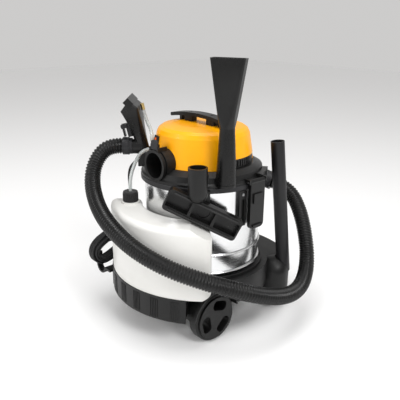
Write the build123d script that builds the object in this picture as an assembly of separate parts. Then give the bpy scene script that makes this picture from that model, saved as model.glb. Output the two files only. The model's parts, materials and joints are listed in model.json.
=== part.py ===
"""Wet-and-dry spray-extraction vacuum: a steel drum on a round wheeled base.

Millimetres, +Z up. The drum's axis is the Z axis and the floor is Z = 0. The front, with the
suction inlet and the casters, is -Y. The rear, with the water tank and the big wheels, is +Y.
"""
import os
from math import atan2, cos, degrees, hypot, radians, sin, tan

from build123d import *

os.makedirs("parts", exist_ok=True)

# Drum and lid
DRUM_R = 150.0
DRUM_WALL = 1.2
DRUM_Z0 = 150.0
DRUM_Z1 = 386.0
BEADS_Z = (163.0, 211.0)
RIM_R = 160.0
RIM_Z = 373.0
LID_Z = 387.0
LID_R = 155.0
COVER_Z = 419.0
COVER_R = 130.0
COVER_TOP_Z = 512.0
PLASTIC_WALL = 3.0
COVER_OUTLINE = [(0, 512), (70, 511), (104, 506), (113, 500), (118, 490), (124, 455), (130, 419)]

# Base
BASE_R = 242.0
BASE_Z0 = 76.0
BASE_Z1 = 137.0
CORE_R = 178.0
CORE_Z0 = 88.0
REAR_SPAN = (51.0, 129.0)
FRONT_SPAN = (231.0, 309.0)
BASE_WALL = 4.0

# Rear wheels
WHEEL_R = 62.0
WHEEL_W = 34.0
WHEEL_FACE_X = 165.5
WHEEL_Y = 99.0
AXLE_R = 5.0
FIT = 0.05
ARCH_R = 70.0

# Front casters
CASTER_X = 135.0
CASTER_Y = -148.0
CASTER_R = 22.0
CASTER_W = 18.0
CASTER_TRAIL = 14.0
DOME_R = 40.0
DOME_Z0 = 50.0
DOME_TOP_Z = 144.0
STEM_R = 5.5

# Water tank
TANK_R0 = 157.5
TANK_R1 = 240.0
TANK_SPAN = (48.0, 143.5)
TANK_Z0 = 137.3
TANK_Z1 = 311.0
TANK_WALL = 3.0
CAP_X = 94.0
CAP_Y = 164.0
CAP_R = 20.0
CAP_Z0 = 315.0
CAP_Z1 = 341.0

# Hose, tubes and lead
HOSE_R = 20.5
TUBE_R = 4.5
LEAD_R = 3.5
INLET_Z = 335.0
PORT_Z = 426.0
PORT_R = 35.0

# Tools
TOOL_X = 104.0
TOOL_Y = 114.0
TOOL_Z = 447.0
TOOL_TURN = 48.0
TOOL_TILT = 13.0
UPHOLSTERY_X = -151.0
UPHOLSTERY_Y = 65.0
UPHOLSTERY_TURN = 115.0
FLOOR_X = -133.0
FLOOR_Y = 136.0
FLOOR_TURN = 137.8
FLOOR_TILT = 26.0
FLOOR_LENGTH = 186.0
FLOOR_HEIGHT = 54.0
FLOOR_DEPTH = 28.0
FLOOR_FACE_R = 192.0
EXT_FOOT = Vector(-152.0, -167.0, 104.0)
EXT_R = 18.0
EXT_LENGTH = 363.0
EXT_SOCKET = 60.0
EXT_LEAN = 5.7

# Latches
LATCH_X = 167.0
LATCH_Y = -24.0
LATCH_W = 50.0
LATCH_Z = 392.0
LATCH_FOOT_Z = 272.0
LATCH_PIN_R = 2.5

# Cord routes, from one end to the other
HOSE_ROUTE = (
    (137.5, 151.2, 449), (156, 171.8, 449), (171, 196, 433), (174, 219, 399), (158, 236, 364),
    (128, 249, 336), (84, 262, 312), (22, 272, 290), (-60, 266, 260), (-143, 232, 230),
    (-210, 172, 202), (-252, 100, 170), (-272, 25, 138), (-268, -50, 114), (-250, -118, 106),
    (-226, -170, 122), (-204, -200, 156), (-186, -212, 196), (-162, -226, 234), (-134, -239, 266),
    (-104, -247, 293), (-73, -243, 311), (-43, -231, 321))
FEED_ROUTE = (
    (76.3, 115, 446), (84, 127, 443), (92, 138, 428), (98, 149, 402), (98, 159, 376),
    (94, 164, 356), (94, 164, 338))
SPRAY_ROUTE = (
    (71.8, 108.4, 466), (73, 107.5, 481), (82, 103.5, 494), (93, 103.5, 507), (98.5, 107.9, 523),
    (101.5, 111.3, 542.3))
LEAD_ROUTE = (
    (114.5, 126.9, 411), (122.5, 135.5, 401.5), (128, 141, 386), (130, 142.5, 367),
    (127, 143, 345), (134, 138, 327), (149, 131, 317), (166, 130, 303), (177, 134, 281),
    (182, 139, 256), (183, 141, 231))
TAIL_ROUTE = ((183, 66, 176), (184, 61, 163), (187, 55, 150), (188, 54, 136), (188, 54, 124))

# The lead's hank and its hook
HANK_AT = (183.0, 146.0, 180.0)
HANK_SLOPE = 24.0
HANK_LENGTH = 200.0
HANK_WIDTH = 80.0
HANK_THICK = 30.0
HOOK_Z = 112.0
HOOK_WALL = 5.09

# Pieces that are cut to take the pieces beside them
LET_INTO = (
    ("floor_nozzle", ("nozzle_strips",)),
    ("latch_keepers", ("keeper_screws",)),
    ("head_lower", ("port_collar",)),
    ("port_tab_bracket", ("head_lower", "port_collar")),
    ("tool_holder", ("head_lower", "spray_duct", "lead_gland")),
    ("lead_gland", ("head_lower", "spray_duct")),
    ("spray_valve", ("spray_duct", "cuff_ring", "hose_cuff_tool")),
    ("water_fitting", ("feed_tube", "spray_tube")),
    ("spray_jet", ("spray_tube",)),
    ("hose_cuff_inlet", ("suction_hose",)),
)

SAVED = {}


def save(name, shape):
    """Keep one node until every piece is made."""
    SAVED[name] = shape


def fit_and_write():
    """Cut each piece by the ones let into it, then write every node's STEP file."""
    for receiver, inserts in LET_INTO:
        for insert in inserts:
            SAVED[receiver] -= SAVED[insert]
    for name, shape in SAVED.items():
        shape.label = name
        export_step(shape, f"parts/{name}.step")


def cyl(r, z0, z1, x=0.0, y=0.0):
    """A vertical cylinder from z0 to z1."""
    return Pos(x, y, (z0 + z1) / 2) * Cylinder(r, z1 - z0)


def tube(r1, r0, z0, z1, x=0.0, y=0.0):
    """A vertical ring from z0 to z1."""
    return cyl(r1, z0, z1, x, y) - cyl(r0, z0 - 1, z1 + 1, x, y)


def block(x0, x1, y0, y1, z0, z1):
    """A box between two corners."""
    return Pos((x0 + x1) / 2, (y0 + y1) / 2, (z0 + z1) / 2) * Box(x1 - x0, y1 - y0, z1 - z0)


def cyl_x(r, x0, x1, y, z):
    """A cylinder along X."""
    return Pos((x0 + x1) / 2, y, z) * Rot(0, 90, 0) * Cylinder(r, x1 - x0)


def cyl_y(r, y0, y1, x, z):
    """A cylinder along Y."""
    return Pos(x, (y0 + y1) / 2, z) * Rot(90, 0, 0) * Cylinder(r, y1 - y0)


def polar(r, angle, z=0.0):
    """The point at radius r and an angle in degrees from +X."""
    return Vector(r * cos(radians(angle)), r * sin(radians(angle)), z)


def sector(r0, r1, a0, a1, z0, z1):
    """A ring's sector between two angles in degrees, from z0 to z1."""
    mid = (a0 + a1) / 2
    lines = Line(polar(r0, a0), polar(r1, a0))
    lines += ThreePointArc(polar(r1, a0), polar(r1, mid), polar(r1, a1))
    lines += Line(polar(r1, a1), polar(r0, a1))
    lines += ThreePointArc(polar(r0, a1), polar(r0, mid), polar(r0, a0))
    return Pos(0, 0, z0) * extrude(make_face(lines), z1 - z0)


def turned(points):
    """A solid of revolution about Z from an (r, z) outline."""
    face = make_face(Polyline([(r, 0, z) for r, z in points], close=True))
    return revolve(face, Axis.Z, 360)


def both_sides(shape):
    """A shape and its mirror image across X = 0."""
    return shape + mirror(shape, Plane.YZ)


def side_name(side):
    """The side as a user behind the machine, facing its front, names it."""
    return "left" if side > 0 else "right"


# --- base -------------------------------------------------------------------------------------

def skirt(span, z0, z1):
    """A curved outer wall with its top plate and groups of upright ribs."""
    a0, a1 = span
    body = sector(BASE_R - BASE_WALL, BASE_R, a0, a1, z0, z1)
    body += sector(CORE_R - 8, BASE_R, a0, a1, z1 - BASE_WALL, z1)
    for angle in (a0, a1):
        inward = 1.0 if angle == a0 else -1.0
        low, high = sorted((angle, angle + inward))
        body += sector(CORE_R - 8, BASE_R, low, high, z0 + 12, z1)
    groups = 6
    ribs = 5
    pitch = 1.15
    step = (a1 - a0) / groups
    for group in range(groups):
        middle = a0 + step * (group + 0.5)
        for rib in range(ribs):
            angle = middle + (rib - (ribs - 1) / 2) * pitch
            body += sector(BASE_R - 1, BASE_R + 1.2, angle - 0.28, angle + 0.28, z0 + 5, z1 - 7)
    return body


def caster_dome():
    """The rounded housing over one front caster, on the +X side."""
    ball = Pos(CASTER_X, CASTER_Y, DOME_TOP_Z - DOME_R) * Sphere(DOME_R)
    return cyl(DOME_R, DOME_Z0, DOME_TOP_Z - DOME_R, CASTER_X, CASTER_Y) + ball


def ext_place(height=0.0):
    """The stowed extension tube's own frame, Z up the tube."""
    turn = degrees(atan2(EXT_FOOT.Y, EXT_FOOT.X))
    return Pos(*EXT_FOOT) * Rot(0, 0, turn) * Rot(0, -EXT_LEAN, 0) * Pos(0, 0, height)


def make_base():
    core = cyl(CORE_R, CORE_Z0, DRUM_Z0) - cyl(CORE_R - BASE_WALL, CORE_Z0 - 1, DRUM_Z0 - BASE_WALL)
    core += tube(162, 158, DRUM_Z0 - 1, DRUM_Z0 + 6)
    core += skirt(REAR_SPAN, BASE_Z0, BASE_Z1)
    core += skirt(FRONT_SPAN, BASE_Z0, BASE_Z1)
    dome = caster_dome()
    hollow = cyl_x(ARCH_R, 116, 300, WHEEL_Y, WHEEL_R)
    arch = cyl_x(ARCH_R + BASE_WALL, 111, WHEEL_FACE_X + 1, WHEEL_Y, WHEEL_R)
    arch -= block(100, 300, -100, 300, -20, WHEEL_R + 14)
    hanger = block(111, 116, WHEEL_Y - 16, WHEEL_Y + 16, WHEEL_R - 12, DRUM_Z0 - 6)
    core += both_sides(dome)
    core += both_sides(arch)
    core -= both_sides(hollow)
    core += both_sides(hanger)
    core -= cyl_x(AXLE_R + FIT, -130, 130, WHEEL_Y, WHEEL_R)
    core -= both_sides(cyl(STEM_R + FIT, DOME_Z0 - 1, DOME_Z0 + 48, CASTER_X, CASTER_Y))
    seat = ext_place() * cyl(EXT_R + 3, 0, 90)
    peg = ext_place() * (cyl(EXT_R - 3.4, -6, 34) - cyl(EXT_R - 6, 4, 40))
    core -= seat
    core += peg
    core -= sector(TANK_R0 - 0.3, 250, TANK_SPAN[0] - 1, TANK_SPAN[1] + 1, BASE_Z1, 200)
    save("base_tray", core)


def make_rear_wheels():
    axle = cyl_x(AXLE_R, -WHEEL_FACE_X + 6, WHEEL_FACE_X - 6, WHEEL_Y, WHEEL_R)
    save("rear_axle", axle)
    face = WHEEL_FACE_X
    inner = face - WHEEL_W
    wheel = cyl_x(WHEEL_R, inner, face - 5, WHEEL_Y, WHEEL_R)
    wheel = fillet(wheel.edges().filter_by(GeomType.CIRCLE), 5)
    wheel += cyl_x(WHEEL_R - 7, face - 8, face, WHEEL_Y, WHEEL_R)
    window = Pos(0, 0, 33) * Box(80, 44, 26)
    window = fillet(window.edges().filter_by(Axis.X), 11)
    rim_cut = cyl_x(WHEEL_R - 10, 0, 300, WHEEL_Y, WHEEL_R)
    for turn in (18, 138, 258):
        cut = Pos((inner + face) / 2, WHEEL_Y, WHEEL_R) * Rot(turn, 0, 0) * window
        wheel -= cut & rim_cut
    wheel -= cyl_x(AXLE_R + FIT, inner - 1, face - 5, WHEEL_Y, WHEEL_R)
    save("rear_wheel_left", wheel)
    save("rear_wheel_right", mirror(wheel, Plane.YZ))


def make_caster(side):
    """A swivelling fork, its wheel and the pin between them."""
    x, y = side * CASTER_X, CASTER_Y
    name = side_name(side)
    axle_y = y + CASTER_TRAIL
    gap = CASTER_W / 2 + 1
    fork = cyl(STEM_R, 44, DOME_Z0 + 46, x, y)
    fork += cyl(17, 45, DOME_Z0 - 0.3, x, y)
    cheek = cyl_x(8, gap, gap + 3, axle_y, CASTER_R)
    cheek += block(gap, gap + 3, y - 8, axle_y + 8, CASTER_R, 46)
    fork += Pos(x, 0, 0) * both_sides(cheek)
    fork += block(x - gap - 3, x + gap + 3, y - 8, y + 12, 45.5, DOME_Z0 - 0.3)
    fork -= cyl_x(3, x - 30, x + 30, axle_y, CASTER_R)
    fork += cyl_x(3, x - gap - 4, x + gap + 4, axle_y, CASTER_R)
    save(f"caster_fork_{name}", fork)
    wheel = cyl_x(CASTER_R, x - CASTER_W / 2, x + CASTER_W / 2, axle_y, CASTER_R)
    wheel = fillet(wheel.edges().filter_by(GeomType.CIRCLE), 3)
    wheel -= cyl_x(3 + FIT, x - 30, x + 30, axle_y, CASTER_R)
    save(f"caster_wheel_{name}", wheel)


# --- drum ---------------------------------------------------------------------------------------

def make_drum():
    r, wall = DRUM_R, DRUM_WALL
    drum = turned([(0, DRUM_Z0), (r, DRUM_Z0), (r, DRUM_Z1), (r - wall, DRUM_Z1),
                   (r - wall, DRUM_Z0 + wall), (0, DRUM_Z0 + wall)])
    for z in BEADS_Z:
        drum += Pos(0, 0, z) * Torus(r + 0.4, 3.2)
        drum -= cyl(r - wall, DRUM_Z0 + wall, DRUM_Z1)
    drum -= cyl_y(24, -r - 20, -r + 20, 0, INLET_Z)
    save("drum", drum)
    ring = tube(RIM_R, r + 0.3, RIM_Z, LID_Z - 0.4)
    ring = fillet(ring.edges().filter_by(GeomType.CIRCLE).group_by(SortBy.RADIUS)[-1], 2.5)
    save("rim_ring", ring)
    save("drum_seal", tube(r - wall - 0.2, r - 9, DRUM_Z1 - 7, LID_Z - 0.2))


def make_inlet():
    """The suction socket on the drum's front, and the hose's cuff in it."""
    wall_y = -DRUM_R
    socket = cyl_y(27, wall_y - 40, wall_y + 12, 0, INLET_Z)
    flange = cyl_y(38, wall_y - 9, wall_y + 12, 0, INLET_Z)
    socket = socket + flange - cyl(DRUM_R + 0.1, INLET_Z - 60, INLET_Z + 60)
    socket += cyl_y(23.8, wall_y - 8, wall_y + 10, 0, INLET_Z)
    socket -= cyl_y(21.5, wall_y - 60, wall_y + 30, 0, INLET_Z)
    save("suction_inlet", socket)
    corner = Pos(0, wall_y - 64, INLET_Z)
    aim = Vector(*HOSE_ROUTE[-2]) - Vector(*HOSE_ROUTE[-1])
    swing = degrees(atan2(aim.Y, aim.X))
    dip = degrees(atan2(-aim.Z, hypot(aim.X, aim.Y)))
    out = corner * Rot(0, 0, swing) * Rot(0, 90 + dip, 0)
    reach = (Vector(*HOSE_ROUTE[-1]) - Vector(0, wall_y - 64, INLET_Z)).length
    cuff = cyl_y(21.4, wall_y - 40, wall_y - 12, 0, INLET_Z)
    cuff += cyl_y(25, wall_y - 64, wall_y - 40, 0, INLET_Z) + corner * Sphere(25)
    cuff += out * Pos(0, 0, reach / 2) * Cylinder(25, reach)
    cuff -= cyl_y(17, wall_y - 64, wall_y, 0, INLET_Z) + corner * Sphere(17)
    cuff -= out * Pos(0, 0, reach / 2) * Cylinder(17, reach - 6)
    save("hose_cuff_inlet", cuff)


def make_latches():
    for side in (1, -1):
        x = side * LATCH_X
        y0, y1 = LATCH_Y - LATCH_W / 2, LATCH_Y + LATCH_W / 2
        lever = cyl_y(6, y0 + 0.5, y1 - 0.5, x, LATCH_Z)
        xs = sorted((x - side * 4.5, x + side * 5))
        plate = block(xs[0], xs[1], y0 + 0.5, y1 - 0.5, LATCH_FOOT_Z, LATCH_Z)
        plate = fillet(plate.edges().filter_by(Axis.X).sort_by(Axis.Z)[:2], 12)
        rib = sorted((x + side * 4, x + side * 9))
        lever += plate
        lever += block(rib[0], rib[1], y0 + 9, y1 - 9, LATCH_FOOT_Z + 66, LATCH_FOOT_Z + 90)
        lever += block(rib[0], rib[1], y0 + 9, y1 - 9, LATCH_FOOT_Z + 6, LATCH_FOOT_Z + 10)
        lever -= cyl_y(LATCH_PIN_R + FIT, y0 - 1, y1 + 1, x, LATCH_Z)
        save(f"latch_{side_name(side)}", lever)
    pin = cyl_y(LATCH_PIN_R, LATCH_Y - LATCH_W / 2 - 5, LATCH_Y + LATCH_W / 2 + 5, LATCH_X, LATCH_Z)
    save("latch_pins", both_sides(pin))
    keeper = sector(DRUM_R + 0.2, RIM_R - 1, 1, 8.5, 282, RIM_Z - 1)
    keeper -= sector(DRUM_R + 4, RIM_R + 4, 3, 6.5, 292, 350)
    save("latch_keepers", both_sides(keeper))
    screw = Pos(*polar(RIM_R - 2, 4.8, 362)) * Rot(0, 90, 4.8) * Cylinder(3.5, 5)
    save("keeper_screws", both_sides(screw))


# --- water tank ---------------------------------------------------------------------------------

def nozzle_place():
    """The stowed floor nozzle's own frame: X outward, Y along its slanting length, Z up it."""
    face = polar(FLOOR_FACE_R, FLOOR_TURN, 333)
    return Pos(*face) * Rot(0, 0, FLOOR_TURN) * Rot(-FLOOR_TILT, 0, 0)


def tank_shell(shrink, edge):
    """The tank's closed outer form, or its smaller inner form."""
    a0, a1 = TANK_SPAN
    r0, r1 = TANK_R0 + shrink, TANK_R1 - shrink
    spread = degrees(shrink / r1)
    body = sector(r0, r1, a0 + spread, a1 - spread, TANK_Z0 + shrink, TANK_Z1 - shrink)
    body = fillet(body.edges().filter_by(Axis.Z), edge)
    top = body.edges().group_by(Axis.Z)[-1]
    body = fillet(top, edge * 0.8)
    arch = cyl_x(ARCH_R + 26 + shrink, 100, 300, WHEEL_Y + 4, WHEEL_R - 2)
    return body - both_sides(arch)


def make_tank():
    tank = tank_shell(0, 18)
    inner = tank_shell(TANK_WALL, 15)
    recess = nozzle_place() * Pos(20, 0, 0) * Box(122, FLOOR_LENGTH + 12, FLOOR_HEIGHT + 10)
    recess_in = nozzle_place() * Pos(20, 0, 0) * Box(128, FLOOR_LENGTH + 18, FLOOR_HEIGHT + 16)
    tank = (tank - recess) - (inner - recess_in)
    tank += tube(24, 12.5, TANK_Z1 - 3, TANK_Z1 + 3.5, CAP_X, CAP_Y)
    tank += tube(15, 12.5, TANK_Z1 + 3, CAP_Z0 + 16, CAP_X, CAP_Y)
    tank -= cyl(12.5, TANK_Z1 - 8, TANK_Z1 + 40, CAP_X, CAP_Y)
    save("water_tank", tank)
    cap = cyl(CAP_R - 1.2, CAP_Z0, CAP_Z1, CAP_X, CAP_Y)
    cap = fillet(cap.edges().group_by(Axis.Z)[-1], 2)
    ribs = 24
    for rib in range(ribs):
        spot = polar(CAP_R - 1.4, rib * 360 / ribs)
        cap += cyl(1.3, CAP_Z0 + 1, CAP_Z1 - 5, CAP_X + spot.X, CAP_Y + spot.Y)
    cap -= cyl(15.3, CAP_Z0 - 1, CAP_Z1 - 4, CAP_X, CAP_Y)
    cap -= cyl(TUBE_R + 0.5, CAP_Z0, CAP_Z1 + 1, CAP_X, CAP_Y)
    save("tank_cap", cap)


# --- lid and motor ------------------------------------------------------------------------------

def radial_port(r, r_out, r_in=100.0, turn=90.0, z=PORT_Z):
    """A cylinder that points out of the head at an angle."""
    return Rot(0, 0, turn) * cyl_x(r, r_in, r_out, 0, z)


def nozzle_peg():
    """The lid's ledge and peg that the upholstery nozzle stands on."""
    x, y = UPHOLSTERY_X, UPHOLSTERY_Y
    plate = cyl(24, LID_Z + 5.5, LID_Z + 12, x, y)
    plate += Rot(0, 0, 156.7) * block(148, 175, -18, 18, LID_Z + 5.5, LID_Z + 12)
    peg = cyl(17, LID_Z + 12, LID_Z + 42, x, y)
    return plate + chamfer(peg.edges().group_by(Axis.Z)[-1], 3)


def nozzle_tongue():
    """The lid's tongue that the floor nozzle's loop hangs on."""
    tongue = block(164.9, 167.2, -10, 10, 392.4, 424) + block(150, 167.2, -10, 10, 389, 396)
    return Rot(0, 0, FLOOR_TURN) * tongue


def make_head():
    w = PLASTIC_WALL
    lower = turned([(0, LID_Z), (LID_R + 4, LID_Z), (LID_R + 4, LID_Z + 5), (LID_R, LID_Z + 9),
                    (LID_R - 3, COVER_Z - 10), (COVER_R + 4, COVER_Z - 0.4), (COVER_R - 9, COVER_Z - 0.4),
                    (LID_R - 14, LID_Z + 8), (0, LID_Z + 8)])
    shelf = sector(LID_R - 12, RIM_R + 7, -41, -15, LID_Z + 1, LID_Z + 17)
    shelf += block(LID_R - 8, LATCH_X + 6, LATCH_Y + 25.5, LATCH_Y + 31, LATCH_Z - 4.5, LATCH_Z + 7)
    shelf += block(LID_R - 22, LATCH_X + 6, LATCH_Y - 31, LATCH_Y - 25.5, LATCH_Z - 4.5, LATCH_Z + 7)
    for slot in range(5):
        mark = Pos(*polar(RIM_R + 7, -38 + slot * 4.2, LID_Z + 9)) * Rot(0, 0, -38 + slot * 4.2)
        shelf -= mark * Rot(35, 0, 0) * Box(3, 2.4, 12)
    lower += both_sides(shelf)
    lower -= both_sides(block(LATCH_X - 7, 200, LATCH_Y - 25.5, LATCH_Y + 25.5, 360, 420))
    lower -= both_sides(cyl_y(LATCH_PIN_R, LATCH_Y - 31, LATCH_Y + 31, LATCH_X, LATCH_Z))
    lower += radial_port(PORT_R + 4, 148)
    lower -= radial_port(PORT_R, 170)
    lower -= cyl(20, LID_Z - 5, LID_Z + 20)
    lower -= cyl(COVER_R - 12, LID_Z + 8, COVER_Z + 60)
    lower -= cyl(25, LID_Z + 12.5, COVER_Z + 60, UPHOLSTERY_X, UPHOLSTERY_Y)
    lower += nozzle_peg() + nozzle_tongue()
    save("head_lower", lower)

    top, r = COVER_TOP_Z, COVER_R
    inner = [(r - w, COVER_Z), (124 - w, top - 57), (118 - w, top - 22), (113 - w, top - 14),
             (104, top - 9), (70, top - 4), (0, top - 4)]
    cover = turned(COVER_OUTLINE + inner)
    cover -= radial_port(PORT_R + 4.5, 170)
    cover -= both_sides(sector(100, 140, -52, 12, COVER_Z - 1, COVER_Z + 22))
    cover -= switch_place() * Box(30, 22.4, 30.4)
    cover -= tube_fitting_place() * Cylinder(8.2, 40)
    save("head_cover", cover)

    grille = sector(117, 126, -51.6, 11.6, COVER_Z, COVER_Z + 21.6)
    slats = 15
    for slat in range(slats):
        angle = -49 + slat * (58 / (slats - 1))
        grille -= sector(110, 140, angle - 0.9, angle + 0.9, COVER_Z + 3, COVER_Z + 18.6)
    save("exhaust_grilles", both_sides(grille))


def make_port():
    collar = radial_port(PORT_R - 0.1, 158, 112) - radial_port(PORT_R - 4, 170)
    lip = radial_port(PORT_R + 3, 158, 152) - radial_port(PORT_R - 4, 170)
    save("port_collar", collar + lip)
    tab = block(-12, 12, 152.5, 157, PORT_Z + 39, PORT_Z + 62)
    tab = fillet(tab.edges().filter_by(Axis.Y).sort_by(Axis.Z)[-2:], 9)
    tab += cyl_x(3, -12, 12, 154.5, PORT_Z + 42)
    tab -= cyl_x(1.5 + FIT, -20, 20, 154.5, PORT_Z + 42)
    save("port_tab", tab)
    lug = block(12.4, 16, 130, 158, PORT_Z + 33, PORT_Z + 45)
    pin = cyl_x(1.5, -15.9, 15.9, 154.5, PORT_Z + 42)
    save("port_tab_bracket", both_sides(lug) + pin)


def switch_place():
    """The rocker switch's own frame on the cover: X outward."""
    return Pos(*polar(121, 69, 470)) * Rot(0, 0, 69) * Rot(0, -13, 0)


def make_switch():
    bezel = Pos(1, 0, 0) * (Box(12, 22, 30) - Pos(3, 0, 0) * Box(14, 15, 23))
    save("switch_bezel", switch_place() * bezel)
    rocker = Pos(3.4, 0, 0) * Box(6, 14.2, 21)
    rocker = fillet(rocker.edges().filter_by(Axis.Y).sort_by(Axis.X)[-2:], 2.5)
    rocker += Pos(3.4, 0, 0) * Rot(90, 0, 0) * Cylinder(1.5, 14.8)
    save("power_switch", switch_place() * rocker)


def make_handle():
    half, width = 104.0, 30.0
    rise = 10.0
    big_r = (half ** 2 + rise ** 2) / (2 * rise)
    bar = cyl_y(big_r, -8, -8 + width, 0, 536 - big_r) - cyl_y(big_r - 9, -20, 40, 0, 536 - big_r)
    bar &= block(-half, half, -8, -8 + width, 500, 560)
    bar = fillet(bar.edges().filter_by(Axis.Y), 3.5)
    post = block(25, 55, -3, 17, 500, 529)
    post = fillet(post.edges().filter_by(Axis.Z), 5)
    thin = block(67, 76, 0, 14, 494, 528)
    body = both_sides(post + thin) + bar
    body -= turned(COVER_OUTLINE + [(0, 419)])
    for x in (-40, 40):
        body -= cyl(4.2, 530, 545, x, 7)
    save("carry_handle", body)
    screws = None
    for x in (-40, 40):
        screw = cyl(4, 530, 533.6, x, 7) - Pos(x, 7, 533.4) * Box(5, 1.2, 2)
        screws = screw if screws is None else screws + screw
    save("handle_screws", screws)


def make_motor():
    motor = cyl(47, 432, 492) + cyl(30, 492, 502)
    motor -= cyl(6.05, 400, 498)
    save("vacuum_motor", motor)
    shaft = cyl(6, 404, 497.5)
    save("motor_shaft", shaft)
    fan = cyl(48, 408, 411) + cyl(12, 408, 426)
    for blade in range(8):
        fan += Rot(0, 0, blade * 45) * Pos(28, 6, 416) * Rot(0, 0, 18) * Box(34, 2.5, 12)
    fan -= cyl(6, 400, 440)
    save("suction_fan", fan)
    housing = cyl(58, LID_Z + 8, 432) - cyl(54, 403, 428) - cyl(26, 390, 404) - cyl(20, 427, 440)
    save("fan_housing", housing)
    cage = tube(40, 37, 296, 386.6) + cyl(40, 292, 296)
    for turn in range(6):
        cage -= Rot(0, 0, turn * 60) * block(30, 45, -12, 12, 306, 370)
    save("float_cage", cage)
    ball = Pos(0, 0, 321) * Sphere(24)
    save("float_ball", ball)
    save("filter_sleeve", tube(52, 40.3, 298, 385))
    pump = Pos(62, 62, 0) * (cyl(20, LID_Z + 8, 470) + cyl(12, 470, 482))
    save("water_pump", pump)


def tube_fitting_place():
    """The pump's outlet block on the cover: Z outward."""
    return Pos(*polar(126, 56.5, 452)) * Rot(0, 0, 56.5) * Rot(0, 90, 0)


def make_fittings():
    body = tube_fitting_place() * Cylinder(8, 16)
    start = Vector(*FEED_ROUTE[0])
    feed = Pos(*start) * Rot(0, 0, 56.5) * Rot(0, 90, 0) * Pos(0, 0, -5) * Cylinder(3, 10)
    top = Vector(*SPRAY_ROUTE[0])
    spray = cyl(3, top.Z - 14, top.Z, top.X, top.Y)
    save("water_fitting", body + feed + spray)
    gland = Rot(0, 0, 50) * (block(135, 166, -16, 16, LID_Z + 14, LID_Z + 46))
    gland = fillet(gland.edges().filter_by(Axis.Z), 4)
    gland -= cyl(COVER_R + 5, 380, 460)
    save("tool_holder", gland)
    first, second = Vector(*LEAD_ROUTE[0]), Vector(*LEAD_ROUTE[1])
    nub = Plane(origin=first, z_dir=second - first).location
    save("lead_gland", nub * Pos(0, 0, -12) * Cone(6.5, 4.4, 24))


# --- stowed tools -------------------------------------------------------------------------------

def tool_place(up=0.0):
    """The spray tool's own frame: Z up the tool, X outward from the machine."""
    return Pos(TOOL_X, TOOL_Y, TOOL_Z) * Rot(0, 0, TOOL_TURN) * Rot(0, TOOL_TILT, 0) * Pos(0, 0, up)


def loft_rects(sizes, straight=False):
    """A loft through rectangles (z, x, width, depth, corner)."""
    faces = [Pos(x, 0, z) * RectangleRounded(w, d, c) for z, x, w, d, c in sizes]
    return loft(faces, ruled=straight)


def make_spray_tool():
    outer = loft_rects([(-8, 0, 33, 34, 15), (45, 0, 33, 46, 12), (78, 1, 38, 72, 8), (104, 3, 44, 92, 5)])
    inner = loft_rects([(-5, 0, 28, 29, 13), (45, 0, 28, 41, 10), (78, 1, 33, 67, 6), (105, 3, 39, 87, 3)])
    outer -= inner
    elbow = Pos(13, 0, 4) * Rot(0, 90 - TOOL_TILT, 0) * (Cylinder(19, 24) - Cylinder(16, 40))
    outer += elbow - inner
    save("spray_duct", tool_place() * outer)
    mouth = loft_rects([(104.2, 3, 44, 92, 5), (116, 1, 20, 94, 3)])
    mouth -= loft_rects([(103, 3, 38, 86, 3), (117, 1, 14, 88, 2)])
    lips = Pos(1, 0, 114) * Rot(0, 32, 0) * (Box(17, 94, 20) - Box(9, 88, 40))
    save("spray_mouth", tool_place() * (mouth + Pos(0, 0, 6) * lips))
    jet = Pos(-25, 0, 100) * (Cylinder(5, 16) - Pos(0, 0, -6) * Cylinder(3.1, 12))
    save("spray_jet", tool_place() * jet)
    valve = Pos(22.5, 0, 50) * Box(12, 14, 34)
    valve = fillet(valve.edges().filter_by(Axis.Z), 3)
    pivot = Pos(37, 0, 62)
    trigger = Pos(36, 0, 50) * Box(5, 12, 28) + pivot * Rot(90, 0, 0) * Cylinder(4.5, 12)
    trigger -= pivot * Rot(90, 0, 0) * Cylinder(2 + FIT, 20)
    save("spray_trigger", tool_place() * trigger)
    ears = Pos(33.5, 0, 62) * (Box(13, 20, 10) - Box(30, 12.6, 30))
    for y in (-8.2, 8.2):
        ears += Pos(28, y, 62) * Box(6, 3.6, 10)
    ears += pivot * Rot(90, 0, 0) * Cylinder(2, 20)
    save("spray_valve", tool_place() * (valve + ears))
    along = Pos(TOOL_X, TOOL_Y, TOOL_Z + 2) * Rot(0, 0, TOOL_TURN)
    collar = along * Pos(30, 0, 0) * Rot(0, 90, 0) * (Cylinder(20.5, 8) - Cylinder(16, 30))
    save("cuff_ring", collar)
    cuff = along * Pos(42, 0, 0) * Rot(0, 90, 0) * (Cylinder(22.5, 16) - Cylinder(17, 40))
    save("hose_cuff_tool", cuff)


def make_upholstery_nozzle():
    place = Pos(UPHOLSTERY_X, UPHOLSTERY_Y, 0) * Rot(0, 0, UPHOLSTERY_TURN)
    neck = Pos(0, 0, 464) * Cone(24.5, 17.3, 128)
    bore = Pos(0, 0, 464) * Cone(21, 14.3, 130)
    flare = Pos(0, 0, 528) * loft_rects(
        [(0, 0, 34.6, 34.6, 17), (26, 0, 33, 41, 8), (152, 0, 26, 82, 5)], True)
    hollow = Pos(0, 0, 528) * loft_rects(
        [(-1, 0, 28.6, 28.6, 14), (26, 0, 27, 35, 6), (153, 0, 20, 76, 3)], True)
    nozzle = neck + flare - bore - hollow
    save("upholstery_nozzle", place * nozzle)


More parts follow.
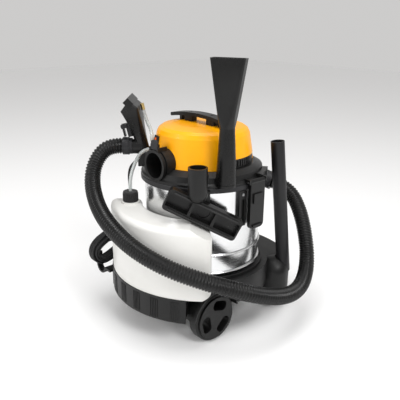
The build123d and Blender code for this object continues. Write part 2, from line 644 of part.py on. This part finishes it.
def make_floor_nozzle():
    place = nozzle_place()
    body = Pos(-FLOOR_DEPTH / 2, 0, 0) * Box(FLOOR_DEPTH, FLOOR_LENGTH, FLOOR_HEIGHT)
    body = fillet(body.edges().filter_by(Axis.X), 9)
    body = fillet(body.faces().sort_by(Axis.X)[0].edges(), 6)
    cells = ((-61, 56), (0, 52), (61, 56))
    for y, length in cells:
        body -= Pos(-9, y, 0) * Box(20, length, FLOOR_HEIGHT - 22)
    body -= Pos(-7, 0, 4) * Rot(0, 90, 0) * Cylinder(17, 30)
    strips = None
    for z in (-1, 1):
        strip = Pos(1.0, 0, z * (FLOOR_HEIGHT / 2 - 6)) * Box(6, FLOOR_LENGTH - 26, 3)
        strips = strip if strips is None else strips + strip
    save("nozzle_strips", place * strips)
    neck_z0, neck_z1 = 384.0, 446.0
    neck = cyl(22.5, neck_z0, neck_z1, FLOOR_X, FLOOR_Y)
    neck += Pos(FLOOR_X, FLOOR_Y, neck_z0) * Sphere(22.5)
    back = polar(FLOOR_FACE_R - FLOOR_DEPTH, FLOOR_TURN)
    drop = Pos(back.X, back.Y, 0) * Rot(0, 0, FLOOR_TURN) * block(-9, 10, -17, 17, 340, neck_z0)
    neck += drop
    neck -= cyl(19, neck_z0 + 4, neck_z1 + 1, FLOOR_X, FLOOR_Y)
    neck -= place * Pos(-FLOOR_DEPTH / 2, 0, 0) * Box(FLOOR_DEPTH, FLOOR_LENGTH, FLOOR_HEIGHT)
    turn = Rot(0, 0, FLOOR_TURN)
    neck -= cyl(RIM_R + 0.6, 300, 460) + turn * block(150, 168, -11, 11, 320, 403)
    hoop = turn * block(164.6, 170, -14, 14, 404, 424) - turn * block(160, 167.6, -10.4, 10.4, 400, 430)
    save("floor_nozzle", place * body + neck + hoop)


def make_extension_tube():
    tube_body = cyl(EXT_R, 0.3, EXT_LENGTH) - cyl(EXT_R - 3, -1, EXT_LENGTH - EXT_SOCKET)
    tube_body -= cyl(EXT_R - 2.2, EXT_LENGTH - EXT_SOCKET, EXT_LENGTH + 1)
    save("extension_tube", ext_place() * tube_body)


# --- cords --------------------------------------------------------------------------------------

def corded(route, radius):
    """A tube along a route: straight runs joined by arcs as large as the runs allow."""
    points = [Vector(*point) for point in route]
    radii = []
    for before, here, after in zip(points, points[1:], points[2:]):
        run = min((here - before).length, (after - here).length)
        turn = (here - before).get_angle(after - here)
        radii.append(0.45 * run / tan(radians(turn / 2)))
    line = FilletPolyline(*points, radius=radii)
    start = Plane(origin=line @ 0, z_dir=line % 0)
    body = sweep(start * Circle(radius), path=line)
    section = 3.14159 * radius ** 2
    print("  radii", [round(r) for r in radii], "length", round(line.length),
          "volume ratio", round(body.volume / (section * line.length), 4))
    return body


def hank_place():
    """The hank's own frame: Y along its turns, Z across them, X through its thickness."""
    return Pos(*HANK_AT) * Rot(-HANK_SLOPE, 0, 0)


def make_cords():
    save("suction_hose", corded(HOSE_ROUTE, HOSE_R))
    save("feed_tube", corded(FEED_ROUTE, TUBE_R))
    save("spray_tube", corded(SPRAY_ROUTE, TUBE_R))
    save("mains_lead", corded(LEAD_ROUTE, LEAD_R))
    save("lead_tail", corded(TAIL_ROUTE, LEAD_R))
    straight = HANK_LENGTH - HANK_WIDTH
    hank = Box(HANK_THICK, straight, HANK_WIDTH)
    for end in (-1, 1):
        hank += Pos(0, end * straight / 2, 0) * Rot(0, 90, 0) * Cylinder(HANK_WIDTH / 2, HANK_THICK)
    hank = fillet(hank.edges().filter_by(lambda e: abs(abs(e.center().X) - HANK_THICK / 2) < 0.1), 8)
    save("lead_hank", hank_place() * hank)
    plug_top = Vector(*TAIL_ROUTE[-1])
    plug = cyl(5.5, -16, 0) + Pos(0, 0, -38) * Box(24, 36, 44)
    plug = fillet(plug.edges().filter_by(Axis.Z).group_by(SortBy.LENGTH)[-1], 6)
    for y in (-9.5, 9.5):
        plug += cyl(2.4, -79, -59, 0, y)
    save("mains_plug", Pos(*plug_top) * plug)
    bottom = Vector(HANK_AT[0], 0, 0)
    trough_r = HANK_THICK / 2 + 1.2
    y0, y1 = 193.0, 209.0
    hook = cyl_y(trough_r + HOOK_WALL, y0, y1, bottom.X, HOOK_Z)
    hook -= cyl_y(trough_r, y0 - 1, y1 + 1, bottom.X, HOOK_Z)
    hook -= block(100, 300, 150, 250, HOOK_Z, HOOK_Z + 60)
    hook += block(bottom.X + trough_r, bottom.X + trough_r + HOOK_WALL, y0, y1, HOOK_Z, HOOK_Z + 34)
    hook += block(140, bottom.X - trough_r, y0 - 14, y1, HOOK_Z - 6, HOOK_Z)
    save("cable_hook", hook - cyl(BASE_R + 1.3, 60, 200))


for make in (make_base, make_rear_wheels, make_drum, make_inlet, make_latches, make_tank, make_head,
             make_port, make_switch, make_handle, make_motor, make_fittings, make_spray_tool,
             make_upholstery_nozzle, make_floor_nozzle, make_extension_tube, make_cords):
    make()
for side in (1, -1):
    make_caster(side)
fit_and_write()
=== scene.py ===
"""Wheeled wet-and-dry vacuum with its hose, lead and tools stowed on it."""

import json
from math import cos, pi, radians, sin

import bpy
from mathutils import Matrix, Quaternion, Vector

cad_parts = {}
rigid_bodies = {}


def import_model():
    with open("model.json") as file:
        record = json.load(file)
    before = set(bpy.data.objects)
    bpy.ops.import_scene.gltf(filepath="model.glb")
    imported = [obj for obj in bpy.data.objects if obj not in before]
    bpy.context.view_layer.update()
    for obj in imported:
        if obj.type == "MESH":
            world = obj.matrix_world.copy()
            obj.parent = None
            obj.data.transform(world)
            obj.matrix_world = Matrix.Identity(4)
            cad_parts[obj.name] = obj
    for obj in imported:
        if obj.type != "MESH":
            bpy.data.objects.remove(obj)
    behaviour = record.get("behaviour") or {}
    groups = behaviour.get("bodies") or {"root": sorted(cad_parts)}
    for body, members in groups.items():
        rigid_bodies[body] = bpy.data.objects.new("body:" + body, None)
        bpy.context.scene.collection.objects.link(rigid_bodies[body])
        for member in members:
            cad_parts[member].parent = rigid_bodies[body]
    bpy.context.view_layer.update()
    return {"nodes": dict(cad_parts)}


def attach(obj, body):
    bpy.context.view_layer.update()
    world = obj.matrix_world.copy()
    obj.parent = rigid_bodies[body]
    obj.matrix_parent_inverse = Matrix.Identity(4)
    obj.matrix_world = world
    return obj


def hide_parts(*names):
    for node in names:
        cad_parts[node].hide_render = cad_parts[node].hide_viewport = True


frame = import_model()
nodes = frame["nodes"]
for loaded in bpy.data.objects:
    loaded.select_set(False)


# --- Camera, floor and lights ---------------------------------------------------------------------
# The machine stands on a pale studio floor, seen from its right rear and a little above.
# Three soft boxes light it: one high at the camera's right, one at its left and one overhead.

camera_place = (-0.9706, 0.8851, 0.75825)
camera_aim = Vector((0.7015, -0.6333, -0.3268))
camera_roll = Quaternion((0, 0, 1), radians(0.55))
bpy.ops.object.camera_add(location=camera_place)
camera = bpy.context.object
camera.name = "studio_camera"
camera.data.lens = 47.2
camera.data.sensor_width = 36.0
camera.rotation_mode = "QUATERNION"
camera.rotation_quaternion = camera_aim.to_track_quat("-Z", "Y") @ camera_roll
bpy.context.scene.camera = camera

floor_side, floor_drop = 14, 0.0005
bpy.ops.mesh.primitive_plane_add(size=floor_side, location=(0, 0, -floor_drop))
floor = bpy.context.object
floor.name = "studio_floor"
floor_paint = bpy.data.materials.new("studio_floor_paint")
floor_paint.use_nodes = True
floor_inputs = floor_paint.node_tree.nodes["Principled BSDF"].inputs
floor_inputs["Base Color"].default_value = (0.95, 0.95, 0.95, 1)
floor_inputs["Roughness"].default_value = 0.7
floor.data.materials.append(floor_paint)

world = bpy.data.worlds.new("studio_air")
world.use_nodes = True
air_inputs = world.node_tree.nodes["Background"].inputs
air_inputs["Color"].default_value = (0.98, 0.97, 0.96, 1)
air_inputs["Strength"].default_value = 0.62
bpy.context.scene.world = world
bpy.context.scene.view_settings.view_transform = "Standard"

lamp_target = Vector((0, 0, 0.3))
for lamp_place, lamp_size, lamp_power in (
        ((-2.4, 0.4, 2.2), 1.0, 44),
        ((0.6, 2.6, 1.6), 0.9, 24),
        ((-0.2, 0.2, 3.0), 1.6, 34)):
    bpy.ops.object.light_add(type="AREA", location=lamp_place)
    lamp = bpy.context.object
    lamp.data.size = lamp_size
    lamp.data.energy = lamp_power
    lamp.rotation_mode = "QUATERNION"
    lamp.rotation_quaternion = (lamp_target - Vector(lamp_place)).to_track_quat("-Z", "Y")


# --- Suction hose ---------------------------------------------------------------------------------
# A black ribbed hose of soft vinyl with a moulded spiral, pushed into a cuff at each end.
# It leaves the spray tool at the left rear, passes behind the machine and round its right side,
# and goes in at the front.

OBJECT_OUT = 3
COLOR_OUT = 2
MM_PER_METRE = 1000


class Wire:
    """A material's socket, on which sums can be written."""

    def __init__(self, tree, socket=None):
        self.tree = tree
        self.socket = socket

    def node(self, kind, settings=None, values=None, out=0):
        """Add a node: its settings first, then the values or wires of its sockets."""
        made = self.tree.nodes.new(kind)
        for key, value in (settings or {}).items():
            setattr(made, key, value)
        for key, value in (values or {}).items():
            if isinstance(value, Wire):
                self.tree.links.new(value.socket, made.inputs[key])
            else:
                made.inputs[key].default_value = value
        return Wire(self.tree, made.outputs[out])

    def sum(self, operation, first, second):
        return self.node("ShaderNodeMath", {"operation": operation}, {0: first, 1: second})

    def __add__(self, other):
        return self.sum("ADD", self, other)

    def __mul__(self, other):
        return self.sum("MULTIPLY", self, other)


def finish_of(name, color, roughness, worn, grain, depth, streak=(1, 1, 1), **fixed):
    """A finish with a clear and a worn colour, moulding or rolling marks and uneven gloss."""
    material = bpy.data.materials.new(name)
    material.use_nodes = True
    tree = material.node_tree
    shell = tree.nodes["Principled BSDF"]
    shell.inputs["Specular IOR Level"].default_value = 0.3
    for key, value in fixed.items():
        shell.inputs[key.replace("_", " ")].default_value = value
    place = Wire(tree).node("ShaderNodeTexCoord", out=OBJECT_OUT)
    drawn = place.node("ShaderNodeMapping", None, {"Vector": place, "Scale": streak})
    patches = place.node("ShaderNodeTexNoise", None,
                         {"Vector": place, "Scale": 11.0, "Detail": 5.0})
    marks = place.node("ShaderNodeTexNoise", None,
                       {"Vector": drawn, "Scale": grain, "Detail": 3.0})
    handled = place.node("ShaderNodeMapRange", None,
                         {"Value": patches, "From Min": 0.42, "From Max": 0.72})
    paint = place.node("ShaderNodeMix", {"data_type": "RGBA"},
                       {"Factor": handled * 0.5 + marks * 0.2,
                        "A": color + (1,), "B": worn + (1,)}, out=COLOR_OUT)
    tree.links.new(paint.socket, shell.inputs["Base Color"])
    gloss = handled * 0.12 + marks * 0.08 + (roughness - 0.06)
    tree.links.new(gloss.socket, shell.inputs["Roughness"])
    bump = place.node("ShaderNodeBump", None,
                      {"Height": marks, "Distance": depth, "Strength": 0.6})
    tree.links.new(bump.socket, shell.inputs["Normal"])
    return material


def spline_of(name, points):
    """An open smooth curve led by route points in millimetres."""
    curve = bpy.data.curves.new(name, "CURVE")
    curve.dimensions = "3D"
    curve.resolution_u = 12
    line = curve.splines.new("NURBS")
    line.points.add(len(points) - 1)
    for knot, (x, y, z) in zip(line.points, points):
        knot.co = (x / MM_PER_METRE, y / MM_PER_METRE, z / MM_PER_METRE, 1)
    line.order_u = 3
    line.use_endpoint_u = True
    made = bpy.data.objects.new(name, curve)
    bpy.context.collection.objects.link(made)
    return made


hose_route = (
    (137.5, 151.2, 449), (156, 171.8, 449), (171, 196, 433), (174, 219, 399), (158, 236, 364),
    (128, 249, 336), (84, 262, 312), (22, 272, 290), (-60, 266, 260), (-143, 232, 230),
    (-210, 172, 202), (-252, 100, 170), (-272, 25, 138), (-268, -50, 114), (-250, -118, 106),
    (-226, -170, 122), (-204, -200, 156), (-186, -212, 196), (-162, -226, 234), (-134, -239, 266),
    (-104, -247, 293), (-73, -243, 311), (-43, -231, 321))
hose_line = spline_of("hose_line", hose_route)
bpy.context.view_layer.update()
line_mesh = bpy.data.meshes.new_from_object(hose_line)
hose_path = [vertex.co.copy() for vertex in line_mesh.vertices]
bpy.data.objects.remove(hose_line)

crest, valley, pitch, step = 0.0205, 0.0174, 0.0072, 0.0012
crest_breadth = 0.6
hose_sides = 28
turn_reach = 3
walked, spots = 0.0, []
for start, end in zip(hose_path, hose_path[1:]):
    run = (end - start).length
    while len(spots) * step <= walked + run:
        spots.append(start.lerp(end, (len(spots) * step - walked) / run))
    walked += run
verts, faces = [], []
ahead = (spots[1] - spots[0]).normalized()
across = ahead.orthogonal().normalized()
for index, spot in enumerate(spots):
    before = spots[max(index - turn_reach, 0)]
    after = spots[min(index + turn_reach, len(spots) - 1)]
    turned = (after - before).normalized()
    across = (ahead.rotation_difference(turned) @ across).normalized()
    ahead = turned
    up = ahead.cross(across).normalized()
    wave = 0.5 + 0.5 * cos(2 * pi * index * step / pitch)
    radius = valley + (crest - valley) * wave ** crest_breadth
    for side in range(hose_sides):
        angle = 2 * pi * side / hose_sides
        verts.append(spot + across * radius * cos(angle) + up * radius * sin(angle))
for ring in range(len(spots) - 1):
    for side in range(hose_sides):
        a, b = ring * hose_sides + side, ring * hose_sides + (side + 1) % hose_sides
        faces.append((a, b, b + hose_sides, a + hose_sides))
faces.append(tuple(reversed(range(hose_sides))))
faces.append(tuple(range((len(spots) - 1) * hose_sides, len(spots) * hose_sides)))
hose_mesh = bpy.data.meshes.new("ribbed_hose")
hose_mesh.from_pydata(verts, [], faces)
hose_mesh.update()
for face in hose_mesh.polygons:
    face.use_smooth = True
ribbed_hose = bpy.data.objects.new("ribbed_hose", hose_mesh)
bpy.context.collection.objects.link(ribbed_hose)
hose_vinyl = finish_of("hose_vinyl", (0.004, 0.004, 0.004), 0.26,
                       (0.012, 0.012, 0.012), 90, 0.0002)
hose_mesh.materials.append(hose_vinyl)
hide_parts("suction_hose")
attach(ribbed_hose, "machine")


# --- Clear water tubes ----------------------------------------------------------------------------
# Two short clear vinyl tubes, pushed on barbs: one brings water up from the tank's filler,
# the other takes it from the pump's outlet to the spray jet.

tubing_radius = 0.0045
clear_vinyl = finish_of("clear_vinyl", (0.74, 0.77, 0.76), 0.16, (0.6, 0.63, 0.62), 60, 0.0002,
                        Transmission_Weight=0.55, IOR=1.4)
for name, node_name, route, length in (
        ("feed_tubing", "feed_tube", (
            (76.3, 115, 446), (84, 127, 443), (92, 138, 428), (98, 149, 402), (98, 159, 376),
            (94, 164, 356), (94, 164, 338)), 0.13),
        ("spray_tubing", "spray_tube", (
            (71.8, 108.4, 466), (73, 107.5, 481), (82, 103.5, 494), (93, 103.5, 507),
            (98.5, 107.9, 523), (101.5, 111.3, 542.3)), 0.085)):
    tubing = spline_of(name, route)
    tubing.data.bevel_depth = tubing_radius
    tubing.data.bevel_resolution = 5
    tubing.data.use_fill_caps = True
    tubing.data.materials.append(clear_vinyl)
    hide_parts(node_name)
    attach(tubing, "machine")


# --- Mains lead -----------------------------------------------------------------------------------
# A black rubber mains lead comes out of the holder's gland and down past the tank.
# Eleven turns of it hang on the cable hook in three layers, and its plug hangs from the end.

def coat(material, *names):
    """Give CAD pieces their finish."""
    for name in names:
        slots = nodes[name].data.materials
        slots.clear()
        slots.append(material)


lead_radius = 0.0035
lead_route = [
    (114.5, 126.9, 411), (122.5, 135.5, 401.5), (128, 141, 386), (130, 142.5, 367),
    (127, 143, 345), (134, 138, 327), (149, 131, 317), (166, 130, 303), (177, 134, 281),
    (182, 139, 256), (183, 141, 231)]

# The turns are long loops, wound sideways in layers, each layer inside the one before.
# The lead joins them a quarter of a turn in.
turns, layer_turns, lead_gap = 11, 4, 7.6
half_run, outer_r = 60.0, 36.5
hank_x, hank_y, hank_z = 183, 146, 180
hank_tilt = Matrix.Rotation(radians(-24), 4, "X")
marks_per_turn, first_mark = 16, 4
for mark in range(first_mark, turns * marks_per_turn + 1):
    t = mark / marks_per_turn
    layer, within = divmod(t, layer_turns)
    sideways = min(within, layer_turns - 1)
    slip = max(0.0, within - (layer_turns - 1))
    way = 1 if int(layer) % 2 == 0 else -1
    across_hank = lead_gap * (sideways - (layer_turns - 1) / 2) * way
    loop_r = outer_r - lead_gap * (layer + slip)
    place = (mark % marks_per_turn) / marks_per_turn
    if place < 0.25:
        y, z = half_run - 8 * half_run * place, loop_r
    elif place < 0.5:
        bend = pi * (place - 0.25) * 4
        y, z = -half_run - loop_r * sin(bend), loop_r * cos(bend)
    elif place < 0.75:
        y, z = -half_run + 8 * half_run * (place - 0.5), -loop_r
    else:
        bend = pi * (place - 0.75) * 4
        y, z = half_run + loop_r * sin(bend), -loop_r * cos(bend)
    spot = hank_tilt @ Vector((across_hank, y, z))
    lead_route.append((hank_x + spot.x, hank_y + spot.y, hank_z + spot.z))
lead_route += [(183, 66, 176), (184, 61, 163), (187, 55, 150), (188, 54, 136), (188, 54, 124)]
mains_cable = spline_of("mains_cable", lead_route)
mains_cable.data.resolution_u = 5
mains_cable.data.bevel_depth = lead_radius
mains_cable.data.bevel_resolution = 3
mains_cable.data.use_fill_caps = True
lead_rubber = finish_of("lead_rubber", (0.009, 0.009, 0.01), 0.42,
                        (0.025, 0.025, 0.025), 120, 0.0002)
mains_cable.data.materials.append(lead_rubber)
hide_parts("mains_lead", "lead_hank", "lead_tail")
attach(mains_cable, "machine")
coat(lead_rubber, "mains_plug", "lead_gland")


# --- Base and hook --------------------------------------------------------------------------------
# One black polypropylene moulding carries everything: a ribbed skirt at the front and rear,
# wheel arches, caster domes and the extension tube's seat. The cable hook is fixed to it.

base_grain = finish_of("base_grain", (0.005, 0.005, 0.005), 0.42,
                       (0.014, 0.014, 0.014), 260, 0.0004)
coat(base_grain, "base_tray", "cable_hook")


# --- Wheels and casters ---------------------------------------------------------------------------
# The rear wheels are black mouldings with three windows on one steel axle.
# The front casters swivel on their stems and have small dark grey wheels.

wheel_plastic = finish_of("wheel_plastic", (0.005, 0.005, 0.005), 0.4,
                          (0.014, 0.014, 0.014), 180, 0.0005)
coat(wheel_plastic, "rear_wheel_left", "rear_wheel_right", "caster_fork_left",
     "caster_fork_right")
caster_tread = finish_of("caster_tread", (0.11, 0.11, 0.115), 0.55,
                         (0.17, 0.165, 0.16), 150, 0.0004)
coat(caster_tread, "caster_wheel_left", "caster_wheel_right")
turned_steel = finish_of("turned_steel", (0.6, 0.6, 0.61), 0.3, (0.45, 0.45, 0.46), 200, 0.0002,
                         (1, 1, 12), Metallic=1.0)
coat(turned_steel, "rear_axle", "latch_pins", "keeper_screws", "handle_screws", "motor_shaft")


# --- Drum and extension tube ----------------------------------------------------------------------
# The drum is rolled and polished stainless steel with two beads and a rubber seal at its rim.
# The extension tube is extruded black plastic with faint lines along it.

rolled_steel = finish_of("rolled_steel", (0.74, 0.745, 0.75), 0.17,
                         (0.66, 0.665, 0.67), 30, 0.0001, (1, 1, 14), Metallic=1.0)
coat(rolled_steel, "drum")
drawn_plastic = finish_of("drawn_plastic", (0.009, 0.009, 0.01), 0.36,
                          (0.022, 0.022, 0.023), 90, 0.0002, (8, 8, 0.5))
coat(drawn_plastic, "extension_tube")
seal_rubber = finish_of("seal_rubber", (0.02, 0.02, 0.02), 0.65, (0.05, 0.05, 0.05), 200, 0.0003)
coat(seal_rubber, "drum_seal", "nozzle_strips")


# --- Water tank -----------------------------------------------------------------------------------
# A blow-moulded tank of milky white polyethylene, drawn opaque, wraps the drum's rear.
# A ribbed black cap screws on its neck.

milky_polyethylene = finish_of("milky_polyethylene", (0.76, 0.755, 0.73), 0.34,
                               (0.68, 0.67, 0.64), 70, 0.0005)
coat(milky_polyethylene, "water_tank", "float_ball")
cap_plastic = finish_of("cap_plastic", (0.012, 0.012, 0.013), 0.4, (0.03, 0.03, 0.03), 220, 0.0003)
coat(cap_plastic, "tank_cap")


# --- Head -----------------------------------------------------------------------------------------
# The lid, handle, grilles and latches are black mouldings; the cover is yellow and satin.
# The port's collar is pressed into the lid and its tab hinges above it.

lid_black = finish_of("lid_black", (0.005, 0.005, 0.005), 0.34,
                      (0.012, 0.012, 0.012), 240, 0.0003)
coat(lid_black, "head_lower", "carry_handle", "exhaust_grilles", "latch_left", "latch_right",
     "latch_keepers", "port_collar", "port_tab_bracket", "tool_holder", "suction_inlet",
     "float_cage", "fan_housing", "water_pump")
cover_yellow = finish_of("cover_yellow", (1.0, 0.43, 0.0), 0.36, (0.93, 0.36, 0.0), 200, 0.0002,
                         Coat_Weight=0.1)
coat(cover_yellow, "head_cover")
trim_black = finish_of("trim_black", (0.014, 0.014, 0.016), 0.4,
                       (0.035, 0.035, 0.036), 200, 0.0003)
coat(trim_black, "port_tab", "switch_bezel", "rim_ring")
signal_orange = finish_of("signal_orange", (0.86, 0.14, 0.02), 0.34,
                          (0.7, 0.1, 0.015), 160, 0.0002)
coat(signal_orange, "power_switch")


# --- Motor and filter -----------------------------------------------------------------------------
# Under the cover a cast motor turns the fan on its shaft, and a felt sleeve guards the float.

cast_aluminium = finish_of("cast_aluminium", (0.62, 0.62, 0.63), 0.42, (0.5, 0.5, 0.5), 160, 0.0005,
                           Metallic=1.0)
coat(cast_aluminium, "vacuum_motor", "suction_fan")
filter_felt = finish_of("filter_felt", (0.7, 0.68, 0.6), 0.85, (0.55, 0.53, 0.46), 320, 0.0012)
coat(filter_felt, "filter_sleeve")


# --- Stowed tools ---------------------------------------------------------------------------------
# The spray tool, the upholstery nozzle and the floor nozzle are dark mouldings.
# The jet is brass, and the valve and hose cuffs are near-black.

tool_plastic = finish_of("tool_plastic", (0.005, 0.005, 0.005), 0.3,
                         (0.013, 0.013, 0.013), 200, 0.0003)
coat(tool_plastic, "spray_duct", "spray_mouth", "spray_trigger", "water_fitting",
     "floor_nozzle", "upholstery_nozzle")
coat(trim_black, "hose_cuff_tool", "hose_cuff_inlet", "cuff_ring", "spray_valve")
valve_brass = finish_of("valve_brass", (0.78, 0.58, 0.24), 0.28, (0.6, 0.42, 0.16), 180, 0.0002,
                        Metallic=1.0)
coat(valve_brass, "spray_jet")
